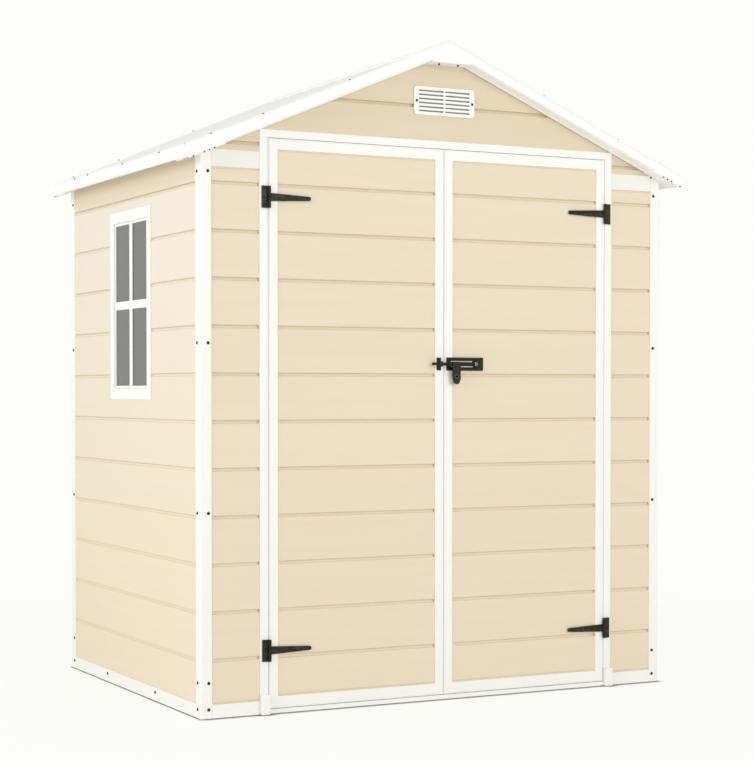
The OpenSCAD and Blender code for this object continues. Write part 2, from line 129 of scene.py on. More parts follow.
def board_grain_group():
    """Pressed wood grain that runs along the boards and starts anew on each of them."""
    tree, given, out = new_group(
        "board_grain",
        [("Place", "Vector", None), ("Foot", "Float", FIRST_JOINT), ("Board", "Float", BOARD)],
        ["Grain", "Streak", "Board tone"],
    )
    height = add(tree, "ShaderNodeSeparateXYZ", {0: given["Place"]}).outputs["Z"]
    above = maths(tree, "SUBTRACT", height, given["Foot"])
    board = maths(tree, "FLOOR", maths(tree, "DIVIDE", above, given["Board"]))
    tone = add(tree, "ShaderNodeTexWhiteNoise", {"W": board}, noise_dimensions="1D").outputs["Value"]
    across, along = (maths(tree, "MULTIPLY", board, step) for step in (3.71, 2.13))
    shift = add(tree, "ShaderNodeCombineXYZ", {0: across, 1: along}).outputs[0]
    place = add(tree, "ShaderNodeVectorMath", {0: given["Place"], 1: shift}, operation="ADD").outputs[0]
    tree.links.new(stretched_noise(tree, place, (9, 9, 330), 5.0, 0.62), out["Grain"])
    tree.links.new(stretched_noise(tree, place, (1.6, 1.6, 48), 3.0, 0.5), out["Streak"])
    tree.links.new(tone, out["Board tone"])
    return tree


def mottle_group():
    """Slow, cloudy change over a moulded surface."""
    given_names = [("Place", "Vector", None), ("Scale", "Float", 4.0)]
    tree, given, out = new_group("mottle", given_names, ["Cloud"])
    keys = {"Vector": given["Place"], "Scale": given["Scale"], "Detail": 3.0, "Roughness": 0.55}
    tree.links.new(add(tree, "ShaderNodeTexNoise", keys).outputs[0], out["Cloud"])
    return tree


def skin_group():
    """Fine orange-peel skin of moulded resin or powder coat."""
    given_names = [("Place", "Vector", None), ("Scale", "Float", 700.0)]
    tree, given, out = new_group("moulded_skin", given_names, ["Height"])
    keys = {"Vector": given["Place"], "Scale": given["Scale"], "Detail": 2.0, "Roughness": 0.5}
    tree.links.new(add(tree, "ShaderNodeTexNoise", keys).outputs[0], out["Height"])
    return tree


def dust_group():
    """Dust that gathers near the ground and thins out upwards."""
    given_names = [("Place", "Vector", None), ("Reach", "Float", 0.35)]
    tree, given, out = new_group("ground_dust", given_names, ["Mask"])
    height = add(tree, "ShaderNodeSeparateXYZ", {0: given["Place"]}).outputs["Z"]
    low = spread(tree, maths(tree, "DIVIDE", height, given["Reach"]), 0.0, 1.0, 1.0, 0.0)
    cloud = stretched_noise(tree, given["Place"], (11, 11, 15), 4.0, 0.6)
    patchy = spread(tree, cloud, 0.35, 0.7, 0.15, 1.0)
    tree.links.new(maths(tree, "MULTIPLY", maths(tree, "POWER", low, 2.0), patchy, True), out["Mask"])
    return tree


def rub_group():
    """Edges rubbed thinner and brighter by use."""
    given_names = [("Place", "Vector", None), ("Scale", "Float", 90.0)]
    tree, given, out = new_group("rubbed_edges", given_names, ["Mask"])
    pointed = add(tree, "ShaderNodeNewGeometry").outputs["Pointiness"]
    convex = spread(tree, pointed, 0.51, 0.6, 0.0, 1.0)
    keys = {"Vector": given["Place"], "Scale": given["Scale"], "Detail": 4.0, "Roughness": 0.6}
    patchy = spread(tree, add(tree, "ShaderNodeTexNoise", keys).outputs[0], 0.4, 0.6, 0.1, 1.0)
    tree.links.new(maths(tree, "MULTIPLY", convex, patchy, True), out["Mask"])
    return tree


BOARD_GRAIN, MOTTLE, SKIN, DUST, RUB = (
    board_grain_group(), mottle_group(), skin_group(), dust_group(), rub_group())


# ---- materials -----------------------------------------------------------------------------

def srgb(red, green, blue):
    """Colour given in the 0 to 255 steps of a paint card."""
    def linear(step):
        c = step / 255
        return c / 12.92 if c <= 0.04045 else ((c + 0.055) / 1.055) ** 2.4
    return (linear(red), linear(green), linear(blue), 1.0)


def use(tree, shared, **inputs):
    """Places a shader group and sets or links its inputs."""
    made = tree.nodes.new("ShaderNodeGroup")
    made.node_tree = shared
    for name, value in inputs.items():
        if isinstance(value, bpy.types.NodeSocket):
            tree.links.new(value, made.inputs[name])
        else:
            made.inputs[name].default_value = value
    return made.outputs


def new_material(name, roughness, **shader):
    """Material with plain values on its shader, named with _ for a space, and the piece's own coordinates."""
    made = bpy.data.materials.new(name)
    made.use_nodes = True
    tree = made.node_tree
    surface = tree.nodes["Principled BSDF"]
    surface.inputs["Roughness"].default_value = roughness
    for label, value in shader.items():
        surface.inputs[label.replace("_", " ")].default_value = value
    return made, tree, surface, add(tree, "ShaderNodeTexCoord").outputs["Object"]


def bump(tree, surface, height, strength, distance):
    keys = {"Height": height, "Strength": strength, "Distance": distance}
    tree.links.new(add(tree, "ShaderNodeBump", keys).outputs[0], surface.inputs["Normal"])


# Heights between which a side wall grows paler with painted glare, and where the painted shade under the
# eaves begins
GLARE_LOW, GLARE_HIGH = 0.45, 1.75
ROOF_SHADE_LOW, ROOF_SHADE_HIGH = 1.76, 1.80
# Darker beige painted on the strip under the eaves, as the shade that they cast
ROOF_SHADE_BEIGE = srgb(221, 206, 180)


def resin(name, light, dark, dusty, boards=True, roughness=(0.42, 0.56), dust=0.12, depth=0.35, glare_colour=None):
    """Moulded resin with a tone that drifts a little, a fine skin, and dust near the ground.

    With a glare colour given it grows paler up the wall, a painted glare, except in the strip under the
    eaves, which is painted darker as shade.
    """
    made, tree, surface, place = new_material(name, roughness[0], IOR=1.5)
    cloud = use(tree, MOTTLE, Place=place, Scale=3.2)["Cloud"]
    skin = use(tree, SKIN, Place=place, Scale=520.0)["Height"]
    mask = use(tree, DUST, Place=place)["Mask"]
    drift, height = cloud, skin
    if boards:
        grain = use(tree, BOARD_GRAIN, Place=place)
        fine = spread(tree, grain["Grain"], 0.25, 0.75, 0.0, 1.0)
        long = spread(tree, grain["Streak"], 0.3, 0.7, 0.0, 1.0)
        drift = maths(tree, "MULTIPLY", fine, 0.3)
        drift = maths(tree, "ADD", drift, maths(tree, "MULTIPLY", long, 0.35))
        drift = maths(tree, "ADD", drift, maths(tree, "MULTIPLY", grain["Board tone"], 0.2))
        drift = maths(tree, "ADD", drift, maths(tree, "MULTIPLY", cloud, 0.15), True)
        height = maths(tree, "ADD", grain["Grain"], maths(tree, "MULTIPLY", skin, 0.35))
    colour = blend_colour(tree, drift, light, dark)
    if glare_colour:
        # Painted glare: the colour grows paler up the wall
        height_up = add(tree, "ShaderNodeSeparateXYZ", {0: place}).outputs["Z"]
        glare = spread(tree, height_up, GLARE_LOW, GLARE_HIGH, 0.0, 1.0)
        colour = blend_colour(tree, glare, colour, glare_colour)
        # Painted shade: the strip under the eaves turns darker
        roof_shade = spread(tree, height_up, ROOF_SHADE_LOW, ROOF_SHADE_HIGH, 0.0, 1.0)
        colour = blend_colour(tree, roof_shade, colour, ROOF_SHADE_BEIGE)
    colour = blend_colour(tree, maths(tree, "MULTIPLY", mask, dust), colour, dusty)
    tree.links.new(colour, surface.inputs["Base Color"])
    tree.links.new(spread(tree, drift, 0.2, 0.8, *roughness), surface.inputs["Roughness"])
    bump(tree, surface, height, depth, 0.5 * MM)
    return made


def black_coat():
    """Powder-coated steel with edges rubbed a little lighter."""
    made, tree, surface, place = new_material("black_coat", 0.45, IOR=1.45, Specular_IOR_Level=0.18)
    cloud = use(tree, MOTTLE, Place=place, Scale=26.0)["Cloud"]
    skin = use(tree, SKIN, Place=place, Scale=1400.0)["Height"]
    rubbed = use(tree, RUB, Place=place)["Mask"]
    colour = blend_colour(tree, cloud, srgb(27, 25, 19), srgb(38, 36, 29))
    colour = blend_colour(tree, maths(tree, "MULTIPLY", rubbed, 0.35), colour, srgb(88, 85, 79))
    tree.links.new(colour, surface.inputs["Base Color"])
    polish = maths(tree, "MULTIPLY", rubbed, 0.1)
    rough = maths(tree, "SUBTRACT", spread(tree, cloud, 0.3, 0.7, 0.36, 0.5), polish)
    tree.links.new(rough, surface.inputs["Roughness"])
    bump(tree, surface, skin, 0.25, 0.2 * MM)
    return made


def painted_highlight_steel(name, dull, bright):
    """Steel painted lighter along its length as a highlight, with some of the black left in it."""
    made, tree, surface, place = new_material(name, 0.4, Metallic=0.35)
    streak = stretched_noise(tree, place, (25, 25, 900), 3.0, 0.6)
    cloud = use(tree, MOTTLE, Place=place, Scale=60.0)["Cloud"]
    left = spread(tree, maths(tree, "MULTIPLY", streak, cloud), 0.1, 0.4, 0.0, 1.0)
    tree.links.new(blend_colour(tree, left, dull, bright), surface.inputs["Base Color"])
    tree.links.new(spread(tree, streak, 0.3, 0.7, 0.32, 0.48), surface.inputs["Roughness"])
    bump(tree, surface, streak, 0.2, 0.1 * MM)
    return made


def smoked_shaded_pane():
    """Grey styrene pane with a faint smear over its gloss; its grey is partly a smoke tint and partly painted
    shade for the dark shed behind it.
    """
    made, tree, surface, place = new_material("smoked_shaded_pane", 0.12, IOR=1.5, Transmission_Weight=0.25)
    cloud = use(tree, MOTTLE, Place=place, Scale=7.0)["Cloud"]
    skin = use(tree, SKIN, Place=place, Scale=60.0)["Height"]
    # Grey partly painted as the shade inside the shed behind the pane
    smoke = blend_colour(tree, cloud, srgb(98, 97, 93), srgb(106, 105, 101))
    tree.links.new(smoke, surface.inputs["Base Color"])
    tree.links.new(spread(tree, cloud, 0.3, 0.7, 0.1, 0.2), surface.inputs["Roughness"])
    bump(tree, surface, skin, 0.05, 0.2 * MM)
    return made


def trim(name, light, dark, roughness, dust=0.0, depth=0.18, dusty=(226, 223, 214)):
    """Plain moulded resin without board grain."""
    return resin(name, srgb(*light), srgb(*dark), srgb(*dusty), boards=False, roughness=roughness,
                 dust=dust, depth=depth)


BEIGE = resin("beige_boards", srgb(234, 220, 193), srgb(230, 215, 187), srgb(214, 199, 172))
# The side boards carry painted glare up the wall and painted shade under the eaves
SIDE_BEIGE = resin("beige_side_boards", srgb(237, 223, 197), srgb(233, 219, 192), srgb(216, 201, 175),
                   glare_colour=srgb(234, 223, 207))
# Beige painted darker for the gable, as the shade under the roof edges
SHADED_GABLE_BEIGE = resin("shaded_beige_gable_boards", srgb(226, 210, 181), srgb(222, 205, 176), srgb(208, 192, 165))
WHITE = trim("white_trim", (247, 247, 243), (243, 243, 238), (0.36, 0.46), 0.06)
# Trim white painted darker for the front bands, as the shade under the roof's overhang
ROOF_SHADE_WHITE = trim("roof_shade_trim", (241, 239, 233), (236, 234, 227), (0.4, 0.5))
# Trim white painted lighter for the roof edges and beads, as painted light that evens out their shading
LIT_EDGE_WHITE = trim("roof_edge", (252, 252, 250), (249, 249, 246), (0.36, 0.46))
ROOF_WHITE = trim("roof_top", (250, 250, 248), (245, 245, 242), (0.45, 0.6), depth=0.3)
# Dark strip colour: painted shade for the gap round each window's sash
SEAM_SHADE = trim("painted_seam_shade", (150, 148, 142), (138, 136, 130), (0.6, 0.7), 0.1, 0.1, (120, 116, 108))
FLOOR_RESIN = trim("floor_panel", (226, 224, 217), (214, 211, 203), (0.5, 0.65), 0.6, 0.35, (180, 173, 160))
# Metal colours painted lighter as highlights on the latch's rails, stop and eye
HIGHLIGHT_STEEL = painted_highlight_steel("painted_highlight_steel", srgb(150, 146, 138), srgb(204, 201, 193))
HIGHLIGHT_BLACK = painted_highlight_steel("painted_highlight_black", srgb(48, 46, 41), srgb(108, 105, 98))
BLACK = black_coat()
SHADED_PANE = smoked_shaded_pane()


# ---- mesh helpers --------------------------------------------------------------------------

def finished(bm, name, body, material, stands_for=(), smooth=32):
    """Makes the piece, at the origin, and lets it ride on its body."""
    mesh = bpy.data.meshes.new(name)
    bm.to_mesh(mesh)
    bm.free()
    mesh.materials.append(material)
    mesh.shade_smooth()
    mesh.set_sharp_from_angle(angle=math.radians(smooth))
    piece = bpy.data.objects.new(name, mesh)
    bpy.context.scene.collection.objects.link(piece)
    # Flat faces keep their own direction, so that only the rounded edges between them shade off
    piece.modifiers.new("flat_faces", "WEIGHTED_NORMAL").keep_sharp = True
    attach(piece, body)
    if stands_for:
        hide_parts(*stands_for)
    return piece


def everything(bm):
    return bm.verts[:] + bm.edges[:] + bm.faces[:]


def soften(bm, width, segments=2, sharper_than=30):
    """Rounds every edge sharper than the given angle."""
    limit = math.radians(sharper_than)
    sharp = [e for e in bm.edges if len(e.link_faces) == 2 and e.calc_face_angle(0) > limit]
    bmesh.ops.bevel(bm, geom=sharp, offset=width, offset_type="OFFSET", segments=segments, affect="EDGES",
                    profile=0.5, material=-1, clamp_overlap=True)


def copy_of(node):
    """The CAD solid as one closed mesh with its flat faces whole again."""
    bm = bmesh.new()
    bm.from_mesh(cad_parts[node].data)
    bmesh.ops.remove_doubles(bm, verts=bm.verts, dist=1e-6)
    bmesh.ops.dissolve_limit(bm, angle_limit=math.radians(0.4), verts=bm.verts, edges=bm.edges)
    return bm


def softened(node, body, material, width=1.2 * MM, segments=2, sharper_than=30):
    """The CAD solid with its edges rounded, as a piece that stands for it."""
    bm = copy_of(node)
    soften(bm, width, segments, sharper_than)
    return finished(bm, node + "_shaped", body, material, [node])


# ---- boarded walls -------------------------------------------------------------------------

# Section of the joint under a board, in millimetres: height from its lower edge, depth behind its face
JOINT = [(1.4, 0.0), (0.6, 0.3), (0.1, 1.2), (0.0, 8.2),
         (-3.0, 7.2), (-9.2, 5.4), (-11.6, 0.7), (-12.8, 0.0)]
# Clear height that a joint needs under it and over it inside a panel
JOINT_UNDER, JOINT_OVER = 20 * MM, 9 * MM
# Deep spot at the right-hand end of a joint: where its slope starts and ends, and its depth
POCKET_INNER, POCKET_OUTER, POCKET_DEEP = 5.2 * MM, 4.2 * MM, 10.5 * MM
# Channel round a panel, where it sits in its white frame: width and depth above, below and beside it
RIM_ENDS, RIM_BASE, RIM_SIDES = (6.5 * MM, 3.0 * MM), (7.0 * MM, 3.6 * MM), (3.2 * MM, 0.9 * MM)
RIM_RAMP = 1.2 * MM
# Seam between the boards and the roof: width and depth
ROOF_SEAM = (5 * MM, 6 * MM)
# Window hole in a side wall: half its width, its bottom and its top
HOLE_HALF, HOLE_LOW, HOLE_HIGH = 192 * MM, 1076 * MM, 1720 * MM
# Tops of a side wall and an end wall before the roof line is cut, and how far they reach into the roof then
SIDE_BLANK_TOP, END_BLANK_TOP = 1950 * MM, PEAK + 50 * MM
INTO_ROOF = 3 * MM


def joint_depth(z, joints):
    """How far behind the boards' face the panel lies at height z."""
    for joint in joints:
        for (high, a), (low, b) in zip(JOINT, JOINT[1:]):
            rel = (z - joint) / MM
            if low - 1e-4 <= rel <= high + 1e-4:
                return (b + (a - b) * (rel - low) / (high - low)) * MM
    return 0.0


def cut(bm, point, normal, clear=False):
    """Cuts the mesh along a plane, drops what lies past it if asked to, and returns the new edges."""
    made = bmesh.ops.bisect_plane(bm, geom=everything(bm), dist=1e-7, plane_co=point, plane_no=normal,
                                  clear_outer=clear)
    return [e for e in made["geom_cut"] if isinstance(e, bmesh.types.BMEdge)]


def boarded_panel(left, right, bottom, top, joints, holes=(), slopes=(), rims=(), pockets=False):
    """Panel with lap joints. Its face looks to -Y at y = 0, and it runs back to y = WALL_THICK.

    A hole is (left, right, bottom, top), a slope (point, direction) cuts the top, and a rim is a channel
    along one edge: (axis, where the edge is on it, 1 or -1 into the panel, (width, depth)).
    """
    bm = bmesh.new()
    middle = Vector(((left + right) / 2, 0, (bottom + top) / 2))
    size = Matrix.Diagonal((right - left, top - bottom, 1, 1))
    bmesh.ops.create_grid(bm, x_segments=1, y_segments=1, size=0.5,
                          matrix=Matrix.Translation(middle) @ Matrix.Rotation(math.pi / 2, 4, "X") @ size)
    inside = [j for j in joints if bottom + JOINT_UNDER < j < top - JOINT_OVER]
    for joint in inside:
        for height, _ in JOINT:
            cut(bm, (0, 0, joint + height * MM), Z)
    if pockets:
        for far in (POCKET_OUTER, POCKET_INNER):
            cut(bm, (right - far, 0, 0), X)
    for x0, x1, z0, z1 in holes:
        for x in (x0, x1):
            cut(bm, (x, 0, 0), X)
        for z in (z0, z1):
            cut(bm, (0, 0, z), Z)
    for axis, at, away, (wide, deep) in rims:
        for far in (wide, wide - RIM_RAMP):
            cut(bm, axis * (at + away * far), axis)
    gone = []
    for face in bm.faces:
        centre = face.calc_center_median()
        if any(x0 < centre.x < x1 and z0 < centre.z < z1 for x0, x1, z0, z1 in holes):
            gone.append(face)
    bmesh.ops.delete(bm, geom=gone, context="FACES")
    near = 0.1 * MM
    for v in bm.verts:
        depths = [deep for axis, at, away, (wide, deep) in rims
                  if away * (v.co.dot(axis) - at) < wide - RIM_RAMP + near]
        joint = joint_depth(v.co.z, inside)
        if pockets and v.co.x > right - POCKET_OUTER - near and joint > 1 * MM:
            joint = POCKET_DEEP
        v.co.y = max(depths + [joint])
    made = bmesh.ops.extrude_face_region(bm, geom=bm.faces[:])
    for v in made["geom"]:
        if isinstance(v, bmesh.types.BMVert):
            v.co.y = WALL_THICK
    for point, normal in slopes:
        bmesh.ops.edgeloop_fill(bm, edges=cut(bm, point, normal, True))
    bmesh.ops.dissolve_limit(bm, angle_limit=math.radians(0.3), verts=bm.verts, edges=bm.edges)
    bmesh.ops.recalc_face_normals(bm, faces=bm.faces)
    return bm


def stand(bm, turn, shift):
    """Turns a panel about the upright axis and moves it to its place."""
    bmesh.ops.rotate(bm, verts=bm.verts, cent=(0, 0, 0), matrix=Matrix.Rotation(math.radians(turn), 3, "Z"))
    bmesh.ops.translate(bm, verts=bm.verts, vec=shift)
    return bm


def side_slope():
    """Cutting plane of a side wall's top, in the panel's own axes."""
    height = PEAK - WALL_FACE_X * math.tan(ROOF_PITCH) + INTO_ROOF / SLOPE
    return Vector((0, 0, height)), Vector((0, -RISE, SLOPE))


def end_slopes():
    """Cutting planes of an end wall's gable."""
    peak = Vector((0, 0, PEAK + INTO_ROOF / SLOPE))
    return [(peak, Vector((side * RISE, 0, SLOPE))) for side in (-1, 1)]


def upright_ring(left, right, bottom, top, wide, front, back):
    """Rectangular ring standing upright, from y = front to y = back."""
    bm = bmesh.new()
    size = Matrix.Diagonal((right - left, top - bottom, 1, 1))
    middle = Matrix.Translation(((left + right) / 2, front, (bottom + top) / 2))
    bmesh.ops.create_grid(bm, x_segments=1, y_segments=1, size=0.5,
                          matrix=middle @ Matrix.Rotation(math.pi / 2, 4, "X") @ size)
    inner = bm.faces[:]
    bmesh.ops.inset_region(bm, faces=inner, thickness=wide, depth=0, use_boundary=True,
                           use_even_offset=True)
    bmesh.ops.delete(bm, geom=inner, context="FACES")
    made = bmesh.ops.extrude_face_region(bm, geom=bm.faces[:])
    for v in made["geom"]:
        if isinstance(v, bmesh.types.BMVert):
            v.co.y = back
    bmesh.ops.recalc_face_normals(bm, faces=bm.faces)
    return bm


def framed(low, high):
    """Channels on the four sides of a panel held in a white frame."""
    return [(Z, low.z, 1, RIM_BASE), (Z, high.z, -1, RIM_ENDS),
            (X, low.x, 1, RIM_SIDES), (X, high.x, -1, RIM_SIDES)]


def build_walls():
    """Side walls with their window backings, the back, both front walls, both door panels, the gable."""
    low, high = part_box("wall_left")
    hole = [(-HOLE_HALF, HOLE_HALF, HOLE_LOW, HOLE_HIGH)]
    under_eave = PEAK - WALL_FACE_X * RISE / SLOPE
    for hand, turn, side in (("left", -90, -1), ("right", 90, 1)):
        name = "wall_" + hand
        shift = (side * WALL_FACE_X, 0, 0)
        bm = boarded_panel(low.y, high.y, low.z, SIDE_BLANK_TOP, WALL_JOINTS, hole, [side_slope()],
                           [(Z, low.z, 1, RIM_SIDES), (Z, under_eave, -1, ROOF_SEAM)])
        finished(stand(bm, turn, shift), name + "_boards", "shed", SIDE_BEIGE, [name])
        # White backing that closes the board joints where they run under the window frame
        edge_low, edge_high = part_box("window_frame_" + hand)
        inset, wide, front, back = 1.5 * MM, 26 * MM, 0.4 * MM, 9 * MM
        bm = upright_ring(edge_low.y + inset, edge_high.y - inset, edge_low.z + inset, edge_high.z - inset,
                          wide, front, back)
        finished(stand(bm, turn, shift), "window_backing_" + hand, "shed", WHITE)

    end_seams = [(Vector((tilt * RISE, 0, SLOPE)), PEAK * SLOPE, -1, ROOF_SEAM) for tilt in (-1, 1)]
    low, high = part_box("wall_back")
    bm = boarded_panel(low.x, high.x, low.z, END_BLANK_TOP, BACK_JOINTS, (), end_slopes(),
                       [(Z, low.z, 1, RIM_SIDES)] + end_seams)
    bm = stand(bm, 180, (0, WALL_FACE_Y, 0))
    finished(bm, "wall_back_boards", "shed", BEIGE, ["wall_back"])

    for name, body in (("wall_front_left", "shed"), ("wall_front_right", "shed"),
                       ("door_left_panel", "left_door"), ("door_right_panel", "right_door")):
        low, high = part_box(name)
        bm = boarded_panel(low.x, high.x, low.z, high.z, WALL_JOINTS, rims=framed(low, high), pockets=True)
        finished(stand(bm, 0, (0, low.y, 0)), name + "_boards", body, BEIGE, [name])

    low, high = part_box("gable_front")
    frame_low, frame_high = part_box("door_head")
    vent_low, vent_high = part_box("gable_vent")
    lap_x, lap_z = 18 * MM, 9 * MM
    holes = [(frame_low.x, frame_high.x, 0, frame_high.z),
             (vent_low.x + lap_x, vent_high.x - lap_x, vent_low.z + lap_z, vent_high.z - lap_z)]
    bm = boarded_panel(low.x, high.x, low.z, END_BLANK_TOP, GABLE_JOINTS, holes, end_slopes(), end_seams)
    bm = stand(bm, 0, (0, low.y, 0))
    # The gable boards take the beige painted darker as shade
    finished(bm, "gable_front_boards", "shed", SHADED_GABLE_BEIGE, ["gable_front"])


# ---- white parts ---------------------------------------------------------------------------

def build_trim():
    """Base rails, posts, door frame, window frames, front bands, door feet and door borders."""
    for node in ("base_left", "base_right", "base_back", "base_front", "post_front_left", "post_front_right",
                 "post_back_left", "post_back_right", "door_post_left", "door_post_right",
                 "door_head", "window_frame_left", "window_frame_right"):
        softened(node, "shed", WHITE)
    # The front bands take the white painted darker, as shade under the roof
    softened("front_bands", "shed", ROOF_SHADE_WHITE)
    softened("door_feet", "shed", WHITE, 2.5 * MM, 3)
    for hand, _ in HANDS:
        softened(f"door_{hand}_border", hand + "_door", WHITE)


def build_window_seam_shades():
    """Dark strips between the casing and the sash of each window: painted shade for the gap between them."""
    casing, sash_back, thick = 40 * MM, 3.5 * MM, 0.6 * MM
    upright_wide, upright_in, level_high, level_in = 3.0 * MM, 1.4 * MM, 1.6 * MM, 0.7 * MM
    for hand, side in HANDS:
        low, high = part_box("window_frame_" + hand)
        face = max(abs(low.x), abs(high.x)) - sash_back
        middle = (low + high) / 2
        half_wide, half_high = (high.y - low.y) / 2 - casing, (high.z - low.z) / 2 - casing
        bm = bmesh.new()
        for end in (-1, 1):
            upright = ((side * face, middle.y + end * (half_wide - upright_in), middle.z),
                       (thick, upright_wide, 2 * half_high))
            level = ((side * (face - 0.1 * MM), middle.y, middle.z + end * (half_high - level_in)),
                     (thick, 2 * half_wide, level_high))
            for place, size in (upright, level):
                matrix = Matrix.Translation(place) @ Matrix.Diagonal((*size, 1))
                bmesh.ops.create_cube(bm, size=1, matrix=matrix)
        finished(bm, "window_seam_shade_" + hand, "shed", SEAM_SHADE)


def build_door_lips():
    """Rebate lip round each door, part-way into the gap, which leaves a fine line in a white channel."""
    meeting, above, below = 2.75 * MM, 3.5 * MM, 3.2 * MM
    wide, front, back = 8 * MM, FRONT + 2.6 * MM, FRONT + 16 * MM
    for hand, side, hinged in (("left", -1, 2.8 * MM), ("right", 1, 4.2 * MM)):
        low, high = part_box(f"door_{hand}_border")
        left = low.x - (hinged if side < 0 else meeting)
        right = high.x + (meeting if side < 0 else hinged)
        bm = upright_ring(left, right, low.z - below, high.z + above, wide, front, back)
        finished(bm, f"door_{hand}_lip", hand + "_door", WHITE)


def build_vent():
    """Vent plate with a sloping blade behind each slot."""
    softened("gable_vent", "shed", WHITE, 1.0 * MM)
    low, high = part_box("gable_vent")
    rows, edge, sides_and_bar = 6, 7.5 * MM, 45 * MM
    pitch = (high.z - low.z - 2 * edge) / rows
    column = (high.x - low.x - sides_and_bar) / 2
    behind, lift, blade_deep, blade_thick = 13 * MM, 3 * MM, 12 * MM, 1.4 * MM
    turn = Matrix.Rotation(math.radians(-48), 4, "X")
    size = Matrix.Diagonal((column + 2 * MM, blade_deep, blade_thick, 1))
    bm = bmesh.new()
    for side in (-1, 1):
        for row in range(rows):
            z = low.z + edge + pitch * (row + 0.5) + lift
            place = Matrix.Translation((side * (column / 2 + 3.5 * MM), high.y + behind, z))
            bmesh.ops.create_cube(bm, size=1, matrix=place @ turn @ size)
    finished(bm, "gable_vent_blades", "shed", WHITE)


def build_floor():
    """Floor of square tiles with narrow joints between them, cut out round the corner posts."""
    low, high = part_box("floor")
    bm = bmesh.new()
    size = Matrix.Diagonal((high.x - low.x, high.y - low.y, 1, 1))
    joint_deep, joint_half, smallest_tile = 1.5 * MM, 4 * MM, 0.01
    middle = Vector(((low.x + high.x) / 2, (low.y + high.y) / 2, high.z - joint_deep))
    bmesh.ops.create_grid(bm, x_segments=12, y_segments=9, size=0.5, matrix=Matrix.Translation(middle) @ size)
    post = POST_HIGH.x - POST_LOW.x
    deep = POST_HIGH.y - POST_LOW.y
    for x in (HALF_WIDTH - post, post - HALF_WIDTH):
        cut(bm, (x, 0, 0), X)
    for y in (HALF_DEPTH - deep, deep - HALF_DEPTH):
        cut(bm, (0, y, 0), Y)
    corner = [f for f in bm.faces if abs(f.calc_center_median().x) > HALF_WIDTH - post
              and abs(f.calc_center_median().y) > HALF_DEPTH - deep]
    bmesh.ops.delete(bm, geom=corner, context="FACES")
    tiles = [f for f in bm.faces if f.calc_area() > smallest_tile]
    bmesh.ops.inset_individual(bm, faces=tiles, thickness=joint_half, depth=joint_deep)
    made = bmesh.ops.extrude_face_region(bm, geom=bm.faces[:])
    for v in made["geom"]:
        if isinstance(v, bmesh.types.BMVert):
            v.co.z = low.z
    bmesh.ops.dissolve_limit(bm, angle_limit=math.radians(0.3), verts=bm.verts, edges=bm.edges)
    bmesh.ops.recalc_face_normals(bm, faces=bm.faces)
    finished(bm, "floor_tiles", "shed", FLOOR_RESIN, ["floor"])


# ---- roof ----------------------------------------------------------------------------------

def slope_matrix(side):
    """Takes distance down the slope, distance along the shed and height over the slope to the shed's axes."""
    down = Vector((side * SLOPE, 0, -RISE))
    up = Vector((side * RISE, 0, SLOPE))
    turned = Matrix((down, Y, up)).transposed().to_4x4()
    return Matrix.Translation((0, 0, PEAK)) @ turned


def roof_panel(side):
    """Roof panel with broad, shallow ribs that run down the slope."""
    bm = bmesh.new()
    reach_y = -ROOF_END - 20 * MM
    start, end = -30 * MM, NOSE - 20 * MM
    top, under = 37 * MM, 3 * MM
    size = Matrix.Diagonal((end - start, 2 * reach_y, 1, 1))
    middle = Vector(((start + end) / 2, 0, top))
    bmesh.ops.create_grid(bm, x_segments=1, y_segments=1, size=0.5, matrix=Matrix.Translation(middle) @ size)
    count, rib_half, shoulder, rise, near = 9, 16 * MM, 5 * MM, 2.6 * MM, 0.1 * MM
    first, last = RIDGE_REACH + 8 * MM, (WALL_FACE_X - 15 * MM) / SLOPE - 14 * MM
    spacing = 2 * WALL_FACE_Y / count
    middles = [(k - (count - 1) / 2) * spacing for k in range(count)]
    for y in middles:
        for edge in (-rib_half - shoulder, -rib_half, rib_half, rib_half + shoulder):
            cut(bm, (0, y + edge, 0), Y)
    for s in (first, first + shoulder, last - shoulder, last):
        cut(bm, (s, 0, 0), X)
    for v in bm.verts:
        on_rib = any(abs(v.co.y - y) < rib_half + near for y in middles)
        if on_rib and first + shoulder - near < v.co.x < last - shoulder + near:
            v.co.z = top + rise
    made = bmesh.ops.extrude_face_region(bm, geom=bm.faces[:])
    for v in made["geom"]:
        if isinstance(v, bmesh.types.BMVert):
            v.co.z = under
    bmesh.ops.transform(bm, matrix=slope_matrix(side), verts=bm.verts)
    bmesh.ops.edgeloop_fill(bm, edges=cut(bm, (side * 0.3 * MM, 0, 0), (-side, 0, 0), True))
    bmesh.ops.dissolve_limit(bm, angle_limit=math.radians(0.3), verts=bm.verts, edges=bm.edges)
    bmesh.ops.recalc_face_normals(bm, faces=bm.faces)
    return bm


def build_roof():
    """Both slopes with the edges, corner caps and ridge cap round them."""
    for hand, side in HANDS:
        node = "roof_" + hand
        finished(roof_panel(side), node + "_ribbed", "shed", ROOF_WHITE, [node])
    # The roof edges, corner caps and ridge cap take the white painted lighter
    for node in ("roof_edge_front", "roof_edge_back", "roof_edge_left", "roof_edge_right",
                 "roof_corner_caps"):
        softened(node, "shed", LIT_EDGE_WHITE, 1.0 * MM, 2, 38)
    softened("ridge_cap", "shed", LIT_EDGE_WHITE, 4.0 * MM, 3, 20)


